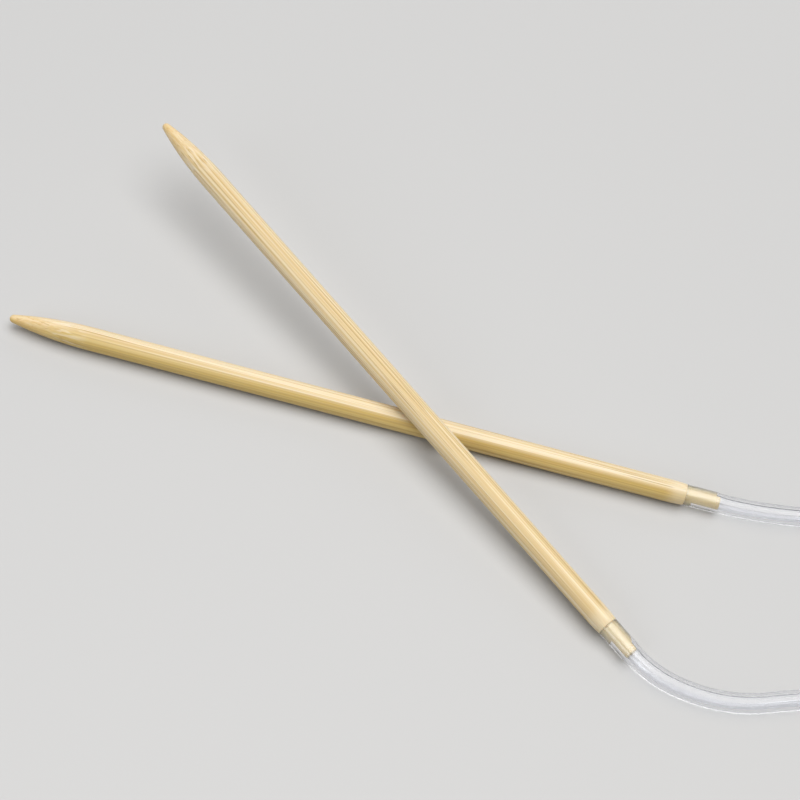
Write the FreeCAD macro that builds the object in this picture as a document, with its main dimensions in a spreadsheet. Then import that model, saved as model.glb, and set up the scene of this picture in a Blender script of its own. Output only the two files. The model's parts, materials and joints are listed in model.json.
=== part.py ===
"""A circular knitting needle: two bamboo needle tips joined by one clear hollow plastic cord.

Row frame: +Z up, millimetres. The origin is under the middle of the two crossed needles, on the
surface that they lie on. The lower needle lies flat along X, with its point towards -X. The upper
needle lies across it. The cord leaves both butts towards +X and closes the loop there.

Each needle is drawn in a frame of its own: X runs along its axis from the point to the butt, and
the origin is the middle of the shoulder that the cord pushes up against.
"""
import FreeCAD, Part
import math
import os

import Sketcher

from FreeCAD import Placement, Rotation, Vector

# Driving dimensions, in millimetres and degrees.
SIZES = {
    "needle_diameter": 4.0,
    "needle_length": 117.5,
    "point_length": 14.0,
    "nose_radius": 0.7,
    "gauge_length": 64.0,
    "rear_diameter": 3.86,
    "butt_length": 3.0,
    "butt_diameter": 3.6,
    "neck_diameter": 2.2,
    "neck_length": 5.8,
    "neck_edge": 0.15,
    "glue_thickness": 0.04,
    "glue_margin": 0.2,
    "glue_clearance": 0.01,
    "cord_diameter": 3.4,
    "cord_bore": 2.0,
    "sleeve_diameter": 3.56,
    "sleeve_length": 5.0,
    "flare_length": 1.2,
    "socket_margin": 0.05,
    "cord_height": 1.75,
    "crossing_angle": 36.38,
    "crossing_upper": 47.6,
    "crossing_lower": 47.0,
    "upper_shoulder_height": 2.65,
    "contact_gap": 0.1,
    "lower_exit_run": 12.0,
    "upper_exit_run": 11.5,
}

# Where the cord's route turns on the table, from the lower needle's side to the upper needle's.
LOOP_TURNS = [
    (81.5, -1.8),
    (95.0, 2.8),
    (109.5, 4.2),
    (120.5, -3.5),
    (123.5, -16.5),
    (117.0, -28.0),
    (104.5, -32.5),
    (92.0, -33.2),
    (80.0, -36.2),
    (68.0, -41.0),
]

ARC_SHARE = 0.45  # of the shorter run that each arc of the route takes up
VOLUME_TOLERANCE = 0.005
START, END, CENTRE = 1, 2, 3  # the Sketcher's names for the points of an edge
ORIGIN = (-1, 1)
H_AXIS, V_AXIS = -1, -2

doc = FreeCAD.newDocument("CircularNeedle")


def fill_sheet():
    """Put the driving dimensions in a spreadsheet, one alias each."""
    sheet = doc.addObject("Spreadsheet::Sheet", "Sizes")
    for row, (alias, value) in enumerate(SIZES.items(), start=1):
        sheet.set("A%d" % row, alias)
        sheet.set("B%d" % row, str(value))
        sheet.setAlias("B%d" % row, alias)
    doc.recompute()
    return sheet


sheet = fill_sheet()


def size(alias):
    return float(sheet.get(alias))


def origin_plane(body, role):
    """The body's own base plane with that role."""
    for feature in body.Origin.OriginFeatures:
        if feature.Role == role:
            return feature
    raise LookupError(role)


def new_profile(label):
    """A body, and an empty sketch on its XZ plane."""
    body = doc.addObject("PartDesign::Body", label + "_body")
    body.Label = label
    sketch = body.newObject("Sketcher::SketchObject", label + "_profile")
    sketch.AttachmentSupport = [(origin_plane(body, "XZ_Plane"), "")]
    sketch.MapMode = "FlatFace"
    return body, sketch


def dimension(sketch, kind, name, *where, rule):
    """A named driving dimension whose value follows a rule written in the sheet's cells."""
    index = sketch.addConstraint(Sketcher.Constraint(kind, *where))
    sketch.renameConstraint(index, name)
    sketch.setExpression("Constraints." + name, rule)


def join(sketch, *edges):
    """Make each edge start where the one before it ends."""
    for one, following in zip(edges, edges[1:]):
        sketch.addConstraint(Sketcher.Constraint("Coincident", one, END, following, START))


def revolve(body, sketch, label):
    """Turn the profile once about the sketch's horizontal axis."""
    turned = body.newObject("PartDesign::Revolution", label + "_turned")
    turned.Profile = sketch
    turned.ReferenceAxis = (sketch, ["H_Axis"])
    turned.Angle = 360.0
    sketch.Visibility = False
    return turned


def line(sketch, start, end):
    return sketch.addGeometry(Part.LineSegment(Vector(*start, 0), Vector(*end, 0)), False)


def arc(sketch, centre, radius, first_angle, last_angle):
    """An arc that runs counter-clockwise between two angles in radians."""
    circle = Part.Circle(Vector(*centre, 0), Vector(0, 0, 1), radius)
    return sketch.addGeometry(Part.ArcOfCircle(circle, first_angle, last_angle), False)


def make_needle(label, placement):
    """A bamboo tip, turned in one piece: blunt rounded point, convex taper, gauge section,
    gently narrowing rear, rounded butt, and the thin neck that the cord is pushed over."""
    length, point = size("needle_length"), size("point_length")
    radius, nose = size("needle_diameter") / 2, size("nose_radius")
    gauge, rear_radius = size("gauge_length"), size("rear_diameter") / 2
    butt, butt_radius = size("butt_length"), size("butt_diameter") / 2
    neck, neck_radius = size("neck_length"), size("neck_diameter") / 2
    edge = size("neck_edge")

    # The taper is one large arc, tangent to the nose and to the gauge section.
    taper = ((point - nose) ** 2 + radius**2 - nose**2) / (2 * (radius - nose))
    taper_centre = (point - length, radius - taper)
    to_nose = math.atan2(-taper_centre[1], (nose - length) - taper_centre[0])
    # The butt's rounding starts in line with the rear and drops to the shoulder.
    lean = math.atan2(radius - rear_radius, length - gauge - butt)
    drop = rear_radius - butt_radius
    rounding = (butt**2 + drop**2) / (2 * (drop * math.cos(lean) - butt * math.sin(lean)))
    rounding_centre = (
        -butt - rounding * math.sin(lean),
        rear_radius - rounding * math.cos(lean),
    )
    to_shoulder = math.atan2(butt_radius - rounding_centre[1], -rounding_centre[0])

    body, sketch = new_profile(label)
    nose_arc = arc(sketch, (nose - length, 0), nose, to_nose, math.pi)
    taper_arc = arc(sketch, taper_centre, taper, math.pi / 2, to_nose)
    gauge_line = line(sketch, (point - length, radius), (gauge - length, radius))
    rear_line = line(sketch, (gauge - length, radius), (-butt, rear_radius))
    butt_arc = arc(sketch, rounding_centre, rounding, to_shoulder, math.pi / 2 - lean)
    shoulder = line(sketch, (0, butt_radius), (0, neck_radius))
    neck_line = line(sketch, (0, neck_radius), (neck - edge, neck_radius))
    chamfer = line(sketch, (neck - edge, neck_radius), (neck, neck_radius - edge))
    end_line = line(sketch, (neck, neck_radius - edge), (neck, 0))
    axis_line = line(sketch, (neck, 0), (-length, 0))

    for constraint in (
        ("Tangent", nose_arc, START, taper_arc, END),
        ("Tangent", taper_arc, START, gauge_line, START),
        ("Tangent", rear_line, END, butt_arc, END),
        ("Coincident", butt_arc, START, shoulder, START),
        ("Coincident", axis_line, END, nose_arc, END),
        ("PointOnObject", nose_arc, CENTRE, H_AXIS),
        ("PointOnObject", nose_arc, END, H_AXIS),
        ("PointOnObject", end_line, END, H_AXIS),
        ("PointOnObject", shoulder, START, V_AXIS),
        ("PointOnObject", shoulder, END, V_AXIS),
        ("Horizontal", gauge_line),
        ("Horizontal", neck_line),
        ("Vertical", end_line),
    ):
        sketch.addConstraint(Sketcher.Constraint(*constraint))
    join(sketch, gauge_line, rear_line)
    join(sketch, shoulder, neck_line, chamfer, end_line, axis_line)

    for kind, name, where, value, rule in (
        ("Radius", "nose", (nose_arc,), nose, "nose_radius"),
        ("DistanceX", "length", (nose_arc, END, *ORIGIN), length, "needle_length"),
        ("DistanceX", "point", (nose_arc, END, taper_arc, START), point, "point_length"),
        ("DistanceX", "gauge", (nose_arc, END, gauge_line, END), gauge, "gauge_length"),
        ("DistanceX", "butt", (rear_line, END, *ORIGIN), butt, "butt_length"),
        ("DistanceX", "neck", (*ORIGIN, end_line, END), neck, "neck_length"),
        ("DistanceX", "edge_x", (chamfer, START, chamfer, END), edge, "neck_edge"),
        ("DistanceY", "edge_y", (chamfer, END, chamfer, START), edge, "neck_edge"),
        ("DistanceY", "half", (*ORIGIN, gauge_line, START), radius, "needle_diameter / 2"),
        ("DistanceY", "rear", (*ORIGIN, rear_line, END), rear_radius, "rear_diameter / 2"),
        ("DistanceY", "end", (*ORIGIN, butt_arc, START), butt_radius, "butt_diameter / 2"),
        ("DistanceY", "inner", (*ORIGIN, shoulder, END), neck_radius, "neck_diameter / 2"),
    ):
        dimension(sketch, kind, name, *where, value, rule="Sizes." + rule)

    revolve(body, sketch, label)
    body.Placement = placement
    return body


def make_ring(label, placement, corners):
    """A ring turned about X. Each corner of its profile is (rule for x, rule for y)."""
    body, sketch = new_profile(label)
    points = [tuple(float(sheet.evalExpression(rule)) for rule in pair) for pair in corners]
    edges = [line(sketch, a, b) for a, b in zip(points, points[1:] + points[:1])]
    join(sketch, *edges, edges[0])
    for edge, (x, y), (rule_x, rule_y) in zip(edges, points, corners):
        if x:
            dimension(sketch, "DistanceX", "x%d" % edge, *ORIGIN, edge, START, x, rule=rule_x)
        else:
            sketch.addConstraint(Sketcher.Constraint("PointOnObject", edge, START, V_AXIS))
        dimension(sketch, "DistanceY", "y%d" % edge, *ORIGIN, edge, START, y, rule=rule_y)
    revolve(body, sketch, label)
    body.Placement = placement
    return body


def make_glue(label, placement):
    """The film of glue on a neck, between the wood and the cord."""
    start = "Sizes.glue_margin"
    end = "Sizes.neck_length - Sizes.neck_edge - Sizes.glue_margin"
    inner = "Sizes.neck_diameter / 2"
    outer = inner + " + Sizes.glue_thickness"
    return make_ring(
        label, placement, [(start, inner), (start, outer), (end, outer), (end, inner)]
    )


def make_sleeve(label, placement):
    """The end of the cord that is stretched over a neck, with its flares inside and out."""
    socket = "Sizes.neck_diameter / 2 + Sizes.glue_thickness + Sizes.glue_clearance"
    end = "Sizes.sleeve_length + Sizes.flare_length"
    corners = [
        ("0", socket),
        ("0", "Sizes.sleeve_diameter / 2"),
        ("Sizes.sleeve_length", "Sizes.sleeve_diameter / 2"),
        (end, "Sizes.cord_diameter / 2"),
        (end, "Sizes.cord_bore / 2"),
        ("Sizes.neck_length + Sizes.socket_margin", socket),
    ]
    return make_ring(label, placement, corners)


def resting_slope():
    """How steeply the plane rises that holds the upper needle's axis and runs along the lower one.

    The two axes stay one diameter and the contact gap apart, and the upper shoulder's height is
    given. From the shoulder to the crossing the plane rises by slope * across.
    """
    apart = size("needle_diameter") + size("contact_gap")
    below = size("upper_shoulder_height") - size("needle_diameter") / 2
    across = size("crossing_upper") * math.sin(math.radians(size("crossing_angle")))
    # apart**2 * (1 + slope**2) = (below + slope * across)**2
    a = across**2 - apart**2
    b = 2 * across * below
    c = below**2 - apart**2
    return (-b + math.sqrt(b**2 - 4 * a * c)) / (2 * a)


def needle_places():
    """The placements of the lower and the upper needle."""
    angle = math.radians(size("crossing_angle"))
    tilt = math.atan(resting_slope() * math.sin(angle))
    length, neck = size("needle_length"), size("neck_length")
    shoulder_x = (length - neck) / 2
    butt_way = Vector(
        math.cos(tilt) * math.cos(angle), -math.cos(tilt) * math.sin(angle), -math.sin(tilt)
    )
    # Seen from above, the pair reaches from the upper needle's nose to the rim of its neck.
    to_crossing = size("crossing_upper")
    nose_y = (length * math.cos(tilt) - to_crossing) * math.sin(angle)
    nose_y += size("nose_radius") * (1 + butt_way.y)
    neck_y = -(to_crossing + neck * math.cos(tilt)) * math.sin(angle)
    neck_y -= (size("neck_diameter") / 2 - size("neck_edge")) * math.sqrt(1 - butt_way.y**2)
    lower_y = -(nose_y + neck_y) / 2
    lower = Placement(Vector(shoulder_x, lower_y, size("needle_diameter") / 2), Rotation())
    upper_shoulder = Vector(
        shoulder_x - size("crossing_lower") + to_crossing * math.cos(angle),
        lower_y - to_crossing * math.sin(angle),
        size("upper_shoulder_height"),
    )
    upper = Placement(upper_shoulder, Rotation(Vector(1, 0, 0), butt_way))
    return lower, upper


def along(placement, distance):
    """The point at that distance from a needle's shoulder, past its butt."""
    return placement.multVec(Vector(distance, 0, 0))


def cord_route(lower, upper):
    """The corners of the cord's route, from the lower shoulder to the upper one."""
    turns = [Vector(x, y, size("cord_height")) for x, y in LOOP_TURNS]
    return [
        along(lower, 0),
        along(lower, size("lower_exit_run")),
        *turns,
        along(upper, size("upper_exit_run")),
        along(upper, 0),
    ]


def rounded_path(route, trim):
    """Straight runs joined by tangent arcs, cut short by trim at both ends. Prints each radius."""
    edges = []
    reached = route[0] + (route[1] - route[0]).normalize() * trim
    for before, here, after in zip(route, route[1:], route[2:]):
        to_here, to_after = here - before, after - here
        turn = to_here.getAngle(to_after)
        share = ARC_SHARE * min(to_here.Length, to_after.Length)
        radius = share / math.tan(turn / 2)
        arc_start = here - to_here.normalize() * share
        arc_end = here + to_after.normalize() * share
        inward = (arc_start - here) + (arc_end - here)
        middle = here + inward.normalize() * (radius / math.cos(turn / 2) - radius)
        edges.append(Part.LineSegment(reached, arc_start).toShape())
        edges.append(Part.Arc(arc_start, middle, arc_end).toShape())
        reached = arc_end
        print("turn %5.1f degrees, radius %6.1f mm" % (math.degrees(turn), radius))
    finish = route[-1] + (route[-2] - route[-1]).normalize() * trim
    edges.append(Part.LineSegment(reached, finish).toShape())
    return Part.Wire(edges)


def sweep_round(label, diameter_alias, start, path_object):
    """A solid rod of that diameter along the path."""
    section = doc.addObject("Part::Circle", label + "_section")
    section.setExpression("Radius", "Sizes.%s / 2" % diameter_alias)
    section.Placement = start
    sweep = doc.addObject("Part::Sweep", label)
    sweep.Sections = [section]
    sweep.Spine = (path_object, [])
    sweep.Solid = True
    sweep.Frenet = False
    return sweep


def make_cord(label, lower, upper):
    """One clear hollow cord: the free run, and an end stretched over each needle's neck."""
    trim = size("sleeve_length") + size("flare_length")
    path = doc.addObject("Part::Feature", "cord_path")
    path.Shape = rounded_path(cord_route(lower, upper), trim)
    start = lower.multiply(Placement(Vector(trim, 0, 0), Rotation(Vector(0, 0, 1), Vector(1, 0, 0))))
    run = doc.addObject("Part::Cut", "cord_run")
    run.Base = sweep_round("cord_outside", "cord_diameter", start, path)
    run.Tool = sweep_round("cord_inside", "cord_bore", start, path)
    cord = doc.addObject("Part::MultiFuse", "cord")
    cord.Shapes = [run, make_sleeve("lower_sleeve", lower), make_sleeve("upper_sleeve", upper)]
    cord.Label = label
    doc.recompute()
    return cord, run, path


def check_run(run, path):
    """The free run's volume has to be its section times its length."""
    section = math.pi * (size("cord_diameter") ** 2 - size("cord_bore") ** 2) / 4
    expected = section * path.Shape.Length
    print("cord run %.1f mm, volume %.2f of %.2f mm3" % (path.Shape.Length, run.Shape.Volume, expected))
    if abs(run.Shape.Volume / expected - 1) > VOLUME_TOLERANCE:
        raise ValueError("the cord's run has the wrong volume")


def check_and_export(subparts):
    """Every object has to be sound, and every sub-part one valid solid. Then write them."""
    for item in doc.Objects:
        if {"Invalid", "Error"} & set(item.State):
            raise ValueError("%s failed: %s" % (item.Label, item.State))
    os.makedirs("parts", exist_ok=True)
    for part in subparts:
        shape = part.Shape
        if shape.isNull() or not shape.isValid() or len(shape.Solids) != 1:
            raise ValueError("%s is not one valid solid" % part.Label)
        box = shape.BoundBox
        print("%-14s %8.2f mm3  %s" % (part.Label, shape.Volume, box))
        shape.exportStep("parts/%s.step" % part.Label)


lower_place, upper_place = needle_places()
needle_lower = make_needle("needle_lower", lower_place)
needle_upper = make_needle("needle_upper", upper_place)
glue_lower = make_glue("glue_lower", lower_place)
glue_upper = make_glue("glue_upper", upper_place)
cord, cord_run, cord_path = make_cord("cord", lower_place, upper_place)
doc.recompute()
check_run(cord_run, cord_path)
check_and_export([needle_lower, needle_upper, glue_lower, glue_upper, cord])
print("lower shoulder", lower_place.Base, "upper shoulder", upper_place.Base)
print("upper butt points along", upper_place.Rotation.multVec(Vector(1, 0, 0)))
print("resting slope %.5f" % resting_slope())
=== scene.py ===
"""Looks for a circular knitting needle: bamboo tips joined by a clear hollow cord.

Everything is in metres, in the part's own frame: +Z up, the lower needle along X with its butt
towards +X, and z = 0 the surface that the needle lies on.
"""

import json
import math

import bmesh
import bpy
from mathutils import Matrix, Vector, noise


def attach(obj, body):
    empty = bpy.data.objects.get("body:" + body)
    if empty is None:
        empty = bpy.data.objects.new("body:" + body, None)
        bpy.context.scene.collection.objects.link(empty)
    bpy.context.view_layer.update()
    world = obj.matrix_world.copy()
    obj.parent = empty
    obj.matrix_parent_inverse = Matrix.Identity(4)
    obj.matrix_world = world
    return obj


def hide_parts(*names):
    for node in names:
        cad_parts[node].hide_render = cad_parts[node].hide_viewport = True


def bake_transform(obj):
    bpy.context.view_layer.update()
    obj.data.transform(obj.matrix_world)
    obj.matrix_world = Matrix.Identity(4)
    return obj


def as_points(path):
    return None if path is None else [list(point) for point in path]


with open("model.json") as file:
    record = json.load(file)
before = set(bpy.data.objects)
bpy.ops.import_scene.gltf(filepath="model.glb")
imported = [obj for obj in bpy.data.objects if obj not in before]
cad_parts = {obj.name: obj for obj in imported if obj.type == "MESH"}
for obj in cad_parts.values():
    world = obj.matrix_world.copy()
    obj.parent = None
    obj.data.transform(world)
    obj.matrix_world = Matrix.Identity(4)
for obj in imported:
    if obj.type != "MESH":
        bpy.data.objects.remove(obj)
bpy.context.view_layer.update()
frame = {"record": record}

MM = 0.001

# The camera. The photograph seems to have been squeezed sideways or cropped off its centre. This
# camera does neither, so its height and roll are a compromise that keeps both needles alike.
CAMERA_TARGET = Vector((5.5, 0.6, 0.0)) * MM
CAMERA_DISTANCE = 340.9 * MM
CAMERA_AZIMUTH = math.radians(1.99)
CAMERA_ELEVATION = math.radians(57.0)
CAMERA_ROLL = math.radians(13.0)
CAMERA_LENS = 90.0

# Sizes that the needles, necks and cord share with the CAD model.
NEEDLE_LENGTH = 117.5 * MM
POINT_LENGTH = 14.0 * MM
GAUGE_LENGTH = 64.0 * MM
NEEDLE_RADIUS = 2.0 * MM
REAR_RADIUS = 1.93 * MM
NOSE_RADIUS = 0.7 * MM
BUTT_LENGTH = 3.0 * MM
BUTT_RADIUS = 1.8 * MM
NECK_RADIUS = 1.1 * MM
NECK_LENGTH = 5.8 * MM
NECK_EDGE = 0.15 * MM
GLUE_RADIUS = 1.14 * MM
SOCKET_RADIUS = 1.15 * MM
SOCKET_LENGTH = 5.85 * MM
SLEEVE_RADIUS = 1.78 * MM
SLEEVE_LENGTH = 5.0 * MM
CORD_RADIUS = 1.7 * MM
BORE_RADIUS = 1.0 * MM
MOUNT_MIDDLE = 39.0 * MM  # from the end of the nose to the middle of a point's mount

# The cord's route on the table, from the lower needle's side to the upper needle's. It's the CAD
# route, but the turn beside the upper needle is spread over one more point, because the
# photograph shows one even curve there.
CORD_HEIGHT = 1.75 * MM
LOWER_EXIT_RUN = 12.0 * MM
UPPER_EXIT_RUN = 10.0 * MM
NECK_HOLD = 1.6 * MM  # with the exit runs, keeps the cord straight as far as the neck reaches
LOOP_TURNS = [  # (x, y) in millimetres
    (81.5, -1.8),
    (95.0, 2.8),
    (109.5, 4.2),
    (120.5, -3.5),
    (123.5, -16.5),
    (117.0, -28.0),
    (104.5, -32.5),
    (92.0, -33.2),
    (80.0, -36.0),
    (71.0, -39.8),
    (63.0, -40.4),
]


# ---------------------------------------------------------------- where the needles lie


def needle_place(mount_name):
    """The matrix of a needle's own frame: X along its axis to the butt, origin in its shoulder."""
    mount = next(m for m in frame["record"]["mounts"] if m["name"] == mount_name)
    butt_way = -Vector(mount["axis"]).normalized()
    shoulder = Vector(mount["pos_m"]) + butt_way * (NEEDLE_LENGTH - MOUNT_MIDDLE)
    turn = Vector((1, 0, 0)).rotation_difference(butt_way)
    return Matrix.Translation(shoulder) @ turn.to_matrix().to_4x4()


LOWER = needle_place("point_lower")
UPPER = needle_place("point_upper")


def along(place, distance):
    """The point at that distance past a needle's shoulder, on its axis."""
    return place @ Vector((distance, 0, 0))


# ---------------------------------------------------------------- camera


def make_camera():
    back = Vector(
        (
            math.sin(CAMERA_AZIMUTH) * math.cos(CAMERA_ELEVATION),
            -math.cos(CAMERA_AZIMUTH) * math.cos(CAMERA_ELEVATION),
            math.sin(CAMERA_ELEVATION),
        )
    )
    data = bpy.data.cameras.new("camera")
    data.lens = CAMERA_LENS
    data.clip_start = 0.01
    camera = bpy.data.objects.new("camera", data)
    look = (-back).to_track_quat("-Z", "Y").to_matrix().to_4x4()
    roll = Matrix.Rotation(CAMERA_ROLL, 4, "Z")
    camera.matrix_world = Matrix.Translation(CAMERA_TARGET + back * CAMERA_DISTANCE) @ look @ roll
    bpy.context.scene.collection.objects.link(camera)
    bpy.context.scene.camera = camera


make_camera()


# ---------------------------------------------------------------- the cord


def link(name, mesh):
    piece = bpy.data.objects.new(name, mesh)
    bpy.context.scene.collection.objects.link(piece)
    return piece


def route_line():
    """Points along the cord's own smooth line, read from its NURBS spline."""
    route = [along(LOWER, d) for d in (0, NECK_HOLD, LOWER_EXIT_RUN)]
    route += [Vector((x * MM, y * MM, CORD_HEIGHT)) for x, y in LOOP_TURNS]
    route += [along(UPPER, d) for d in (UPPER_EXIT_RUN, NECK_HOLD, 0)]
    curve = bpy.data.curves.new("cord_route", "CURVE")
    curve.dimensions = "3D"
    curve.resolution_u = 48
    spline = curve.splines.new("NURBS")
    spline.points.add(len(route) - 1)
    for point, place in zip(spline.points, route):
        point.co = (*place, 1)
    spline.order_u = 3
    spline.use_endpoint_u = True
    guide = bpy.data.objects.new("cord_route", curve)
    bpy.context.scene.collection.objects.link(guide)
    read = bpy.data.meshes.new_from_object(guide)
    line = [v.co.copy() for v in read.vertices]
    bpy.data.objects.remove(guide)
    bpy.data.meshes.remove(read)
    return line


class Line:
    """A polyline with a frame that doesn't twist, to place rings on at any distance along it."""

    def __init__(self, points):
        self.points = points
        self.reach = [0.0]
        for a, b in zip(points, points[1:]):
            self.reach.append(self.reach[-1] + (b - a).length)
        self.length = self.reach[-1]
        self.ways = []
        for i in range(len(points)):
            before, after = points[max(i - 1, 0)], points[min(i + 1, len(points) - 1)]
            self.ways.append((after - before).normalized())
        side = self.ways[0].cross(Vector((0, 0, 1))).normalized()
        self.sides = [side]
        for one, following in zip(self.ways, self.ways[1:]):
            side = one.rotation_difference(following) @ side
            self.sides.append(side)

    def at(self, distance):
        """(point, unit way along the line, unit side) at that distance from the first point."""
        low, high = 0, len(self.reach) - 1
        while high - low > 1:
            middle = (low + high) // 2
            if self.reach[middle] <= distance:
                low = middle
            else:
                high = middle
        t = (distance - self.reach[low]) / (self.reach[high] - self.reach[low])
        way = self.ways[low].lerp(self.ways[high], t).normalized()
        side = self.sides[low].lerp(self.sides[high], t)
        side = (side - way * side.dot(way)).normalized()
        return self.points[low].lerp(self.points[high], t), way, side


def ease(a, b, t):
    """From a to b, level at both ends, as t goes from 0 to 1."""
    t = min(max(t, 0.0), 1.0)
    return a + (b - a) * t * t * (3 - 2 * t)


CORD_GAP = 0.02 * MM  # between the cord's cut end and the wooden shoulder
EDGE = 0.1 * MM  # rounding of the cord's cut edges
LIP_EDGE = 0.5 * EDGE  # rounding of the socket's mouth
EDGE_STEPS = 4
FLARE = 1.8 * MM
SLEEVE_LEAD = 0.3 * MM  # the outside starts to narrow this far before the sleeve's end
RING_STEP = 0.3 * MM
AROUND = 128


def outside_radius(d):
    return ease(SLEEVE_RADIUS, CORD_RADIUS, (d - SLEEVE_LENGTH + SLEEVE_LEAD) / FLARE)


def bore_radius(d):
    return ease(SOCKET_RADIUS, BORE_RADIUS, (d - SOCKET_LENGTH) / FLARE)


def ring_stations(half):
    """(distance, radius) round a half cord's skin: from the seam along the outside to the cut
    end, round its edge, and back along the bore to the seam."""
    steps = round((half - CORD_GAP - EDGE) / RING_STEP)
    spaced = [CORD_GAP + EDGE + (half - CORD_GAP - EDGE) * i / steps for i in range(steps + 1)]
    outside = [(d, outside_radius(d)) for d in reversed(spaced)]
    bore = [(d, bore_radius(d)) for d in spaced]
    turns = [math.pi / 2 * i / EDGE_STEPS for i in range(1, EDGE_STEPS + 1)]
    rim = [
        (CORD_GAP + EDGE * (1 - math.sin(t)), SLEEVE_RADIUS - EDGE * (1 - math.cos(t)))
        for t in turns
    ]
    lip = [
        (CORD_GAP + LIP_EDGE * (1 - math.cos(t)), SOCKET_RADIUS + LIP_EDGE * (1 - math.sin(t)))
        for t in [0.0] + turns[:-1]
    ]
    return outside + rim + lip + bore


def make_half_cord(name, line, half, from_end):
    """A mesh tube over half of the line, and the points that it follows. It's open at the seam,
    where the other half's rings meet it."""
    stations = ring_stations(half)
    mesh = bmesh.new()
    uv = mesh.loops.layers.uv.new("along")
    rings = []
    for distance, radius in stations:
        centre, way, side = line.at(line.length - distance if from_end else distance)
        up = way.cross(side)
        ring = []
        for i in range(AROUND):
            a = 2 * math.pi * i / AROUND
            ring.append(mesh.verts.new(centre + (side * math.cos(a) + up * math.sin(a)) * radius))
        rings.append(ring)
    for (one, (d1, _)), (two, (d2, _)) in zip(
        zip(rings, stations), zip(rings[1:], stations[1:])
    ):
        for i in range(AROUND):
            j = (i + 1) % AROUND
            face = mesh.faces.new((one[i], one[j], two[j], two[i]))
            face.smooth = True
            for loop, (d, turn) in zip(
                face.loops, ((d1, i), (d1, i + 1), (d2, i + 1), (d2, i))
            ):
                loop[uv].uv = (d / MM, turn / AROUND)
    bmesh.ops.recalc_face_normals(mesh, faces=mesh.faces)
    data = bpy.data.meshes.new(name)
    mesh.to_mesh(data)
    mesh.free()
    distances = sorted({d for d, _ in stations})
    path = [line.at(line.length - d if from_end else d)[0] for d in distances]
    return link(name, data), path


cord_line = Line(route_line())
half = cord_line.length / 2
cord_lower_half, lower_path = make_half_cord("cord_lower_half", cord_line, half, False)
cord_upper_half, upper_path = make_half_cord("cord_upper_half", cord_line, half, True)

# Where each end's bending stretch starts and ends, from its shoulder.
SLEEVE_END = 6.6 * MM
LOWER_BEND_END = 37.8 * MM
UPPER_BEND_END = 29.8 * MM
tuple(cord_line.at(SLEEVE_END)[0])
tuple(cord_line.at(LOWER_BEND_END)[0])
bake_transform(cord_lower_half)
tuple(cord_line.at(cord_line.length - UPPER_BEND_END)[0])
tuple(cord_line.at(cord_line.length - SLEEVE_END)[0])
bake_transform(cord_upper_half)
for piece, exit_point, path in (
    (cord_lower_half, along(LOWER, 0), lower_path),
    (cord_upper_half, along(UPPER, 0), upper_path),
):
    piece.visible_diffuse = False  # lamps already pass through its material
    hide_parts("cord")
    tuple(exit_point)
    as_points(path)


# ---------------------------------------------------------------- materials


def new_material(name):
    material = bpy.data.materials.new(name)
    material.use_nodes = True
    tree = material.node_tree
    return material, tree, tree.nodes["Principled BSDF"]


def node(tree, kind, **settings):
    """A node with its properties set, and its sockets where a name is one of its inputs."""
    made = tree.nodes.new(kind)
    for name, value in settings.items():
        if name in made.inputs:
            made.inputs[name].default_value = value
        else:
            setattr(made, name, value)
    return made


def stretched(tree, source, scale, offset):
    """Coordinates in millimetres, scaled by that much along each axis."""
    mapping = node(tree, "ShaderNodeMapping", Location=offset, Scale=scale)
    tree.links.new(source, mapping.inputs["Vector"])
    return mapping.outputs["Vector"]


def noise_of(tree, vector, detail=2.0, rough=0.5, distortion=0.0):
    made = node(
        tree,
        "ShaderNodeTexNoise",
        Scale=1.0,
        Detail=detail,
        Roughness=rough,
        Distortion=distortion,
    )
    tree.links.new(vector, made.inputs["Vector"])
    return made.outputs["Fac"]


def between(tree, value, low, high, to_low=0.0, to_high=1.0):
    """value from low..high to to_low..to_high, clamped, level at both ends."""
    made = tree.nodes.new("ShaderNodeMapRange")
    made.interpolation_type = "SMOOTHSTEP"
    for name, number in (
        ("From Min", low),
        ("From Max", high),
        ("To Min", to_low),
        ("To Max", to_high),
    ):
        made.inputs[name].default_value = number
    tree.links.new(value, made.inputs["Value"])
    return made.outputs["Result"]


def math_of(tree, operation, a, b):
    made = node(tree, "ShaderNodeMath", operation=operation)
    for socket, value in zip(made.inputs, (a, b)):
        if isinstance(value, (int, float)):
            socket.default_value = value
        else:
            tree.links.new(value, socket)
    return made.outputs[0]


def mixed(tree, share, a, b):
    """Colour a, going to colour b as share goes from 0 to 1."""
    made = node(tree, "ShaderNodeMix", data_type="RGBA")
    tree.links.new(share, made.inputs["Factor"])
    for socket, value in ((made.inputs[6], a), (made.inputs[7], b)):
        if isinstance(value, tuple):
            socket.default_value = (*value, 1)
        else:
            tree.links.new(value, socket)
    return made.outputs[2]


# Bamboo's colours, from its palest fibres to its darkest.
PALE = (0.83, 0.725, 0.53)
CREAM = (0.80, 0.655, 0.42)
STRAW = (0.68, 0.50, 0.25)
OCHRE = (0.64, 0.445, 0.105)
DEEP_OCHRE = (0.52, 0.345, 0.10)
LINE_BROWN = (0.48, 0.32, 0.12)
POINT_OCHRE = (0.72, 0.49, 0.20)
SCUFFED_CREAM = (0.88, 0.80, 0.66)
NECK_YELLOW = (0.74, 0.60, 0.35)


def place_along(tree, place):
    """Coordinates in millimetres in a needle's own frame, and how far along its axis they are."""
    spot = node(tree, "ShaderNodeTexCoord").outputs["Object"]
    local = node(
        tree,
        "ShaderNodeMapping",
        vector_type="TEXTURE",
        Location=place.to_translation(),
        Rotation=place.to_euler(),
        Scale=(MM, MM, MM),
    )
    tree.links.new(spot, local.inputs["Vector"])
    split = node(tree, "ShaderNodeSeparateXYZ")
    tree.links.new(local.outputs["Vector"], split.inputs[0])
    return local.outputs["Vector"], split.outputs


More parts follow.
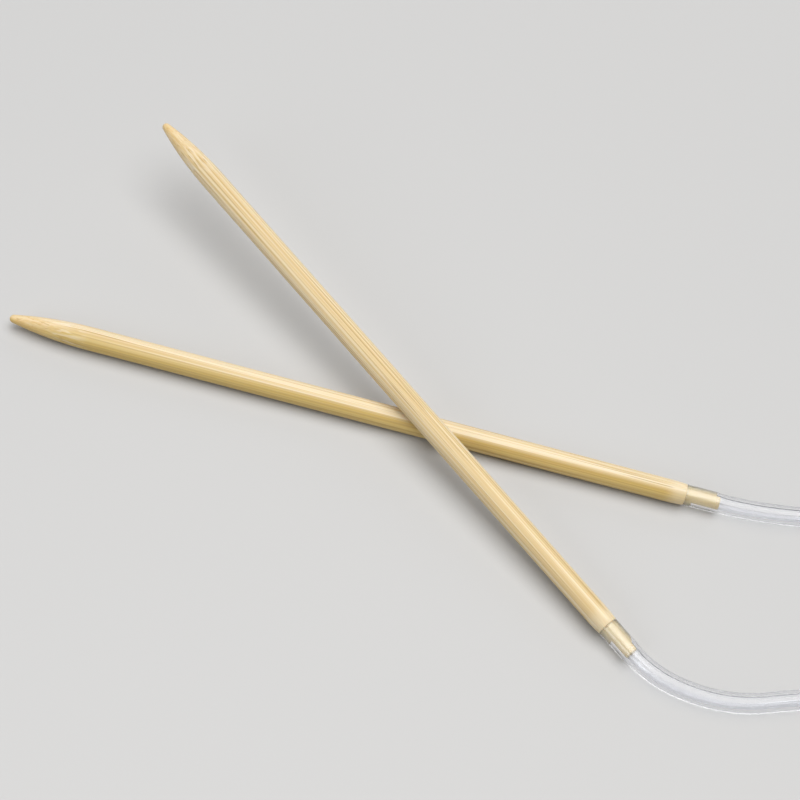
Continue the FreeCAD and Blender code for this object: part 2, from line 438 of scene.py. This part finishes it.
def window(tree, value, rise, full, fade, gone):
    """1 from full to fade, going to 0 at rise and at gone, which may count down."""
    return math_of(
        tree, "MULTIPLY", between(tree, value, rise, full), between(tree, value, gone, fade)
    )


def make_bamboo(name, place, seed, ochre_way, ochre_share):
    """Pale bamboo: fibres that run the length of the needle, one side of the strip it was cut
    from denser and more ochre, thin darker lines, a warmer worn point, yellow glue in the neck."""
    material, tree, shader = new_material(name)
    mm, axes = place_along(tree, place)
    x = axes["X"]
    offset = Vector((seed * 7.3, seed * 3.1, seed * 5.7))
    band = noise_of(tree, stretched(tree, mm, (0.008, 0.5, 0.5), offset), 1.0)
    streak = noise_of(tree, stretched(tree, mm, (0.007, 1.3, 1.3), offset * 1.7), 1.0)
    strand = noise_of(tree, stretched(tree, mm, (0.009, 3.2, 3.2), offset * 4.3), 1.0)
    fibre = noise_of(tree, stretched(tree, mm, (0.035, 8.0, 8.0), offset * 2.3), 2.0, 0.6)
    vessel = noise_of(tree, stretched(tree, mm, (0.005, 1.6, 1.6), offset * 3.1), 1.0)
    patch = noise_of(tree, stretched(tree, mm, (0.25, 1.6, 1.6), offset * 0.7), 2.0)

    # How far towards the denser side of the strip, in millimetres from the needle's axis.
    across = node(tree, "ShaderNodeVectorMath", operation="DOT_PRODUCT")
    tree.links.new(mm, across.inputs[0])
    across.inputs[1].default_value = (0, *ochre_way)
    drift = math_of(tree, "MULTIPLY", math_of(tree, "SUBTRACT", band, 0.5), 3.0)
    dense = between(tree, math_of(tree, "ADD", across.outputs["Value"], drift), -0.7, 0.8)
    dense = math_of(tree, "MULTIPLY", dense, ochre_share)
    fresh = between(tree, dense, 0.0, 1.0, 1.0, 0.15)

    colour = mixed(tree, dense, CREAM, OCHRE)
    shade = mixed(tree, dense, STRAW, DEEP_OCHRE)
    for layer, low, high, dark, bright in (
        (streak, 0.36, 0.64, 0.60, 0.75),
        (strand, 0.38, 0.62, 0.58, 0.60),
        (fibre, 0.35, 0.68, 0.28, 0.34),
    ):
        colour = mixed(tree, between(tree, layer, 0.50, low, 0.0, dark), colour, shade)
        pale = math_of(tree, "MULTIPLY", between(tree, layer, 0.50, high, 0.0, bright), fresh)
        colour = mixed(tree, pale, colour, PALE)
    line = window(tree, vessel, 0.478, 0.492, 0.508, 0.522)
    line = math_of(tree, "MULTIPLY", line, between(tree, fibre, 0.62, 0.45, 0.20, 0.85))
    colour = mixed(tree, line, colour, LINE_BROWN)
    colour = mixed(tree, between(tree, x, -106.0, -116.0, 0.0, 0.45), colour, POINT_OCHRE)
    colour = mixed(tree, between(tree, x, -4.0, -1.0, 0.0, 0.45), colour, PALE)
    scuffed = window(tree, x, -103.0, -106.0, -109.5, -112.5)
    scuffed = math_of(tree, "MULTIPLY", scuffed, between(tree, patch, 0.50, 0.60, 0.0, 0.30))
    colour = mixed(tree, scuffed, colour, SCUFFED_CREAM)
    in_neck = between(tree, x, -0.05, 0.15)
    colour = mixed(tree, math_of(tree, "MULTIPLY", in_neck, 0.62), colour, NECK_YELLOW)
    tree.links.new(colour, shader.inputs["Base Color"])

    rough = between(tree, fibre, 0.3, 0.7, 0.60, 0.48)
    rough = math_of(tree, "MAXIMUM", rough, math_of(tree, "MULTIPLY", in_neck, 0.9))
    tree.links.new(rough, shader.inputs["Roughness"])
    shader.inputs["Coat Weight"].default_value = 0.02
    shader.inputs["Coat Roughness"].default_value = 0.25
    shader.inputs["Subsurface Weight"].default_value = 0.12
    shader.inputs["Subsurface Radius"].default_value = (1.0, 0.55, 0.22)
    shader.inputs["Subsurface Scale"].default_value = 0.6 * MM

    relief = math_of(tree, "ADD", fibre, math_of(tree, "MULTIPLY", streak, 0.8))
    relief = math_of(tree, "SUBTRACT", relief, math_of(tree, "MULTIPLY", line, 0.4))
    bump = node(tree, "ShaderNodeBump", Strength=0.30, Distance=0.03 * MM)
    tree.links.new(relief, bump.inputs["Height"])
    tree.links.new(bump.outputs["Normal"], shader.inputs["Normal"])
    return material


def let_lamps_through(tree, shader, tint):
    """Clear plastic this thin hardly stops a lamp's light: its shadow is only a little darker."""
    ray = node(tree, "ShaderNodeLightPath")
    open_air = node(tree, "ShaderNodeBsdfTransparent", Color=(*tint, 1))
    mix = node(tree, "ShaderNodeMixShader")
    tree.links.new(ray.outputs["Is Shadow Ray"], mix.inputs[0])
    tree.links.new(shader.outputs["BSDF"], mix.inputs[1])
    tree.links.new(open_air.outputs["BSDF"], mix.inputs[2])
    output = next(n for n in tree.nodes if n.type == "OUTPUT_MATERIAL")
    tree.links.new(mix.outputs["Shader"], output.inputs["Surface"])


def make_clear_plastic():
    """Soft clear tube: a faint haze and shallow draw lines that run its length."""
    material, tree, shader = new_material("clear_tube")
    place = node(tree, "ShaderNodeUVMap", uv_map="along").outputs["UV"]
    split = node(tree, "ShaderNodeSeparateXYZ")
    tree.links.new(place, split.inputs[0])
    turn = math_of(tree, "MULTIPLY", split.outputs["Y"], 2 * math.pi)
    ring = node(tree, "ShaderNodeCombineXYZ")
    tree.links.new(split.outputs["X"], ring.inputs["X"])
    tree.links.new(math_of(tree, "COSINE", turn, 0.0), ring.inputs["Y"])
    tree.links.new(math_of(tree, "SINE", turn, 0.0), ring.inputs["Z"])
    ring = ring.outputs["Vector"]
    lines = noise_of(tree, stretched(tree, ring, (0.006, 4.0, 4.0), Vector((0, 0, 2))), 1.0)
    haze = noise_of(tree, stretched(tree, ring, (0.15, 2.5, 2.5), Vector((5, 0, 0))), 2.0)
    shader.inputs["Base Color"].default_value = (0.955, 0.96, 0.98, 1)
    shader.inputs["Transmission Weight"].default_value = 1.0
    shader.inputs["IOR"].default_value = 1.49
    tree.links.new(between(tree, haze, 0.35, 0.7, 0.05, 0.11), shader.inputs["Roughness"])
    bump = node(tree, "ShaderNodeBump", Strength=0.08, Distance=0.02 * MM)
    tree.links.new(lines, bump.inputs["Height"])
    tree.links.new(bump.outputs["Normal"], shader.inputs["Normal"])
    let_lamps_through(tree, shader, (0.93, 0.935, 0.945))
    return material


def make_glue(name, place):
    """A slightly milky film with runs, yellower where it fills the joint beside the shoulder."""
    material, tree, shader = new_material(name)
    mm, axes = place_along(tree, place)
    runs = noise_of(tree, stretched(tree, mm, (0.7, 1.4, 1.4), Vector((3, 1, 4))), 3.0, 0.6)
    film = mixed(tree, between(tree, runs, 0.35, 0.65), (0.99, 0.98, 0.93), (0.97, 0.955, 0.86))
    bead = between(tree, axes["X"], 1.4, 0.8)
    tree.links.new(mixed(tree, bead, film, (0.965, 0.958, 0.85)), shader.inputs["Base Color"])
    shader.inputs["Transmission Weight"].default_value = 1.0
    shader.inputs["IOR"].default_value = 1.49
    shader.inputs["Specular IOR Level"].default_value = 0.25
    tree.links.new(between(tree, runs, 0.3, 0.7, 0.50, 0.70), shader.inputs["Roughness"])
    bump = node(tree, "ShaderNodeBump", Strength=0.25, Distance=0.02 * MM)
    tree.links.new(runs, bump.inputs["Height"])
    tree.links.new(bump.outputs["Normal"], shader.inputs["Normal"])
    let_lamps_through(tree, shader, (0.98, 0.975, 0.93))
    return material


clear_plastic = make_clear_plastic()
cord_lower_half.data.materials.append(clear_plastic)
cord_upper_half.data.materials.append(clear_plastic)


# ---------------------------------------------------------------- the bamboo needles


NOSE_STEPS = 12
STRETCH_STEPS = 40
BUTT_STEPS = 10
NECK_STEPS = 6
SHOULDER_EDGE = 0.1 * MM
NECK_FILLET = 0.05 * MM


def needle_profile():
    """(x, radius) along a needle, from the end of its nose to the end of its neck."""
    nose_x = NOSE_RADIUS - NEEDLE_LENGTH
    taper = ((POINT_LENGTH - NOSE_RADIUS) ** 2 + NEEDLE_RADIUS**2 - NOSE_RADIUS**2) / (
        2 * (NEEDLE_RADIUS - NOSE_RADIUS)
    )
    taper_x, taper_y = POINT_LENGTH - NEEDLE_LENGTH, NEEDLE_RADIUS - taper
    meet = math.atan2(-taper_y, nose_x - taper_x)
    profile = []
    for i in range(1, NOSE_STEPS + 1):
        a = math.pi - (math.pi - meet) * i / NOSE_STEPS
        profile.append((nose_x + NOSE_RADIUS * math.cos(a), NOSE_RADIUS * math.sin(a)))
    for i in range(1, STRETCH_STEPS + 1):
        a = meet + (math.pi / 2 - meet) * i / STRETCH_STEPS
        profile.append((taper_x + taper * math.cos(a), taper_y + taper * math.sin(a)))
    gauge_x = GAUGE_LENGTH - NEEDLE_LENGTH
    for i in range(1, STRETCH_STEPS + 1):
        profile.append((taper_x + (gauge_x - taper_x) * i / STRETCH_STEPS, NEEDLE_RADIUS))
    for i in range(1, STRETCH_STEPS + 1):
        t = i / STRETCH_STEPS
        x = gauge_x + (-BUTT_LENGTH - gauge_x) * t
        profile.append((x, NEEDLE_RADIUS + (REAR_RADIUS - NEEDLE_RADIUS) * t))
    drop = REAR_RADIUS - BUTT_RADIUS
    lean = math.atan2(NEEDLE_RADIUS - REAR_RADIUS, -BUTT_LENGTH - gauge_x)
    rounding = (BUTT_LENGTH**2 + drop**2) / (
        2 * (drop * math.cos(lean) - BUTT_LENGTH * math.sin(lean))
    )
    middle_x = -BUTT_LENGTH - rounding * math.sin(lean)
    middle_y = REAR_RADIUS - rounding * math.cos(lean)
    last = math.atan2(BUTT_RADIUS - middle_y, -middle_x)
    for i in range(1, BUTT_STEPS):
        a = math.pi / 2 - lean + (last - math.pi / 2 + lean) * i / BUTT_STEPS
        profile.append((middle_x + rounding * math.cos(a), middle_y + rounding * math.sin(a)))
    edge_y = BUTT_RADIUS - SHOULDER_EDGE
    for i in range(EDGE_STEPS + 1):
        a = math.pi / 2 * (1 - i / EDGE_STEPS)
        profile.append((SHOULDER_EDGE * (math.cos(a) - 1), edge_y + SHOULDER_EDGE * math.sin(a)))
    profile += [(0, NECK_RADIUS + NECK_FILLET), (NECK_FILLET, NECK_RADIUS)]
    for i in range(1, NECK_STEPS + 1):
        profile.append((i / NECK_STEPS * (NECK_LENGTH - NECK_EDGE), NECK_RADIUS))
    profile += [(NECK_LENGTH, NECK_RADIUS - NECK_EDGE), (NECK_LENGTH, 0.5 * NECK_RADIUS)]
    return profile


NEEDLE_AROUND = 160
GROOVE_DEPTH = 0.012 * MM


def make_needle(name, place, seed):
    """A turned needle with shallow grooves where the fibres were sanded through."""
    profile = needle_profile()
    mesh = bmesh.new()
    rings = []
    for x, radius in profile:
        ring = []
        for i in range(NEEDLE_AROUND):
            a = 2 * math.pi * i / NEEDLE_AROUND
            sample = Vector((x / MM * 0.05, math.cos(a) * 6, math.sin(a) * 6 + seed * 11.0))
            depth = GROOVE_DEPTH * max(0.0, noise.noise(sample)) * min(1.0, radius / NEEDLE_RADIUS)
            r = radius - depth
            ring.append(mesh.verts.new((x, r * math.cos(a), r * math.sin(a))))
        rings.append(ring)
    for one, two in zip(rings, rings[1:]):
        for i in range(NEEDLE_AROUND):
            j = (i + 1) % NEEDLE_AROUND
            mesh.faces.new((one[i], one[j], two[j], two[i]))
    for ring, x in ((rings[0], -NEEDLE_LENGTH), (rings[-1], NECK_LENGTH)):
        tip = mesh.verts.new((x, 0, 0))
        for i in range(NEEDLE_AROUND):
            mesh.faces.new((ring[i], ring[(i + 1) % NEEDLE_AROUND], tip))
    bmesh.ops.recalc_face_normals(mesh, faces=mesh.faces)
    for face in mesh.faces:
        face.smooth = True
    data = bpy.data.meshes.new(name)
    mesh.to_mesh(data)
    mesh.free()
    data.set_sharp_from_angle(angle=math.radians(40))
    data.transform(place)
    return link(name, data)


FILM_AROUND = 96
FILM_ACROSS = 36
FILM_START = 0.03 * MM
FILM_INSIDE = NECK_RADIUS - 0.01 * MM  # soaked into the wood, so no air lies between them
BEAD_RADIUS = SOCKET_RADIUS + 0.01 * MM  # wets the tube, so no air lies between them
FILM_SHORT = 0.25 * MM  # the film stops this far before the neck's edge
FILM_WAVE = 0.9 * MM  # how far its end wanders
BEAD_WAVE = 0.35 * MM
BEAD_SLOPE = 0.25 * MM  # length over which the bead thins to the film
BEAD_SIDE = math.radians(68)  # the side of the neck where the bead reaches furthest


def make_film(name, place, seed, bead_length, bead_reach):
    """The film of glue on a neck: a bead that fills the joint beside the shoulder and runs on
    along one side, then a thin film with a wavy edge, with air between it and the tube."""
    mesh = bmesh.new()
    last = NECK_LENGTH - NECK_EDGE - FILM_SHORT
    shares = [i / FILM_ACROSS for i in range(FILM_ACROSS + 1)]
    rings = []
    for outside, order in ((True, shares), (False, reversed(shares))):
        for t in order:
            ring = []
            for i in range(FILM_AROUND):
                a = 2 * math.pi * i / FILM_AROUND
                way = Vector((math.cos(a) * 1.3, math.sin(a) * 1.3, seed))
                end = last - FILM_WAVE * max(0.0, noise.noise(way + Vector((0, 0, 5))))
                x = FILM_START + (end - FILM_START) * t
                front = bead_length + bead_reach * max(0.0, math.cos(a - BEAD_SIDE))
                front += BEAD_WAVE * noise.noise(way)
                r = ease(BEAD_RADIUS, GLUE_RADIUS, (x - front) / BEAD_SLOPE)
                r = ease(FILM_INSIDE + 0.002 * MM, r, (1 - t) / 0.06) if outside else FILM_INSIDE
                ring.append(mesh.verts.new((x, r * math.cos(a), r * math.sin(a))))
            rings.append(ring)
    for one, two in zip(rings, rings[1:] + rings[:1]):
        for i in range(FILM_AROUND):
            j = (i + 1) % FILM_AROUND
            face = mesh.faces.new((one[i], one[j], two[j], two[i]))
            face.smooth = True
    bmesh.ops.recalc_face_normals(mesh, faces=mesh.faces)
    data = bpy.data.meshes.new(name)
    mesh.to_mesh(data)
    mesh.free()
    data.transform(place)
    return link(name, data)


for side, place, body, seed, ochre_way, ochre_share, bead_length, bead_reach in (
    ("lower", LOWER, "lower_tip", 1.0, (-0.95, -0.30), 0.90, 1.0 * MM, 8.0 * MM),
    ("upper", UPPER, "upper_tip", 4.0, (-0.80, 0.60), 0.30, 2.2 * MM, 2.0 * MM),
):
    needle = make_needle("needle_%s_bamboo" % side, place, seed)
    bamboo = make_bamboo("bamboo_%s" % side, place, seed, ochre_way, ochre_share)
    needle.data.materials.append(bamboo)
    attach(needle, body)
    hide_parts("needle_%s" % side)
    film = make_film("glue_%s_film" % side, place, seed, bead_length, bead_reach)
    film.data.materials.append(make_glue("set_glue_%s" % side, place))
    film.visible_diffuse = False
    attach(film, body)
    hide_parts("glue_%s" % side)


# ---------------------------------------------------------------- floor and light


FLOOR_SIZE = 16.0
FLOOR_GREY = (0.51, 0.51, 0.51, 1)


def make_floor():
    bpy.ops.mesh.primitive_plane_add(size=FLOOR_SIZE)
    floor = bpy.context.object
    floor.name = "floor"
    material, tree, shader = new_material("pale_floor")
    shader.inputs["Base Color"].default_value = FLOOR_GREY
    shader.inputs["Roughness"].default_value = 0.45
    floor.data.materials.append(material)


OBJECT_MIDDLE = Vector((0.03, -0.01, 0))


def place_lamp(name, data, place, power, colour):
    data.energy = power
    data.color = colour
    lamp = bpy.data.objects.new(name, data)
    lamp.location = place
    way = OBJECT_MIDDLE - Vector(place)
    lamp.rotation_mode = "QUATERNION"
    lamp.rotation_quaternion = way.to_track_quat("-Z", "Y")
    bpy.context.scene.collection.objects.link(lamp)


def make_overhead(name, place, spread, power, colour):
    """A wide round softbox, far enough away to light the whole floor alike."""
    data = bpy.data.lights.new(name, "SUN")
    data.angle = math.radians(spread)
    place_lamp(name, data, place, power, colour)


def make_softbox(name, place, width, depth, power, colour):
    data = bpy.data.lights.new(name, "AREA")
    data.shape = "RECTANGLE"
    data.size = width
    data.size_y = depth
    place_lamp(name, data, place, power, colour)


def make_world():
    world = bpy.data.worlds.new("studio")
    world.use_nodes = True
    background = world.node_tree.nodes["Background"]
    background.inputs["Color"].default_value = (0.80, 0.86, 0.95, 1)
    background.inputs["Strength"].default_value = 0.18
    bpy.context.scene.world = world


make_floor()
make_overhead("key", (0.10, 0.10, 0.92), 66.0, 3.1, (1.0, 0.98, 0.95))
make_softbox("back", (0.10, 0.85, 0.42), 0.90, 0.35, 1.0, (1.0, 0.99, 0.98))
make_softbox("fill", (-0.60, -0.70, 0.50), 0.6, 0.5, 2.4, (0.95, 0.97, 1.0))
make_world()
bpy.context.scene.view_settings.view_transform = "Standard"
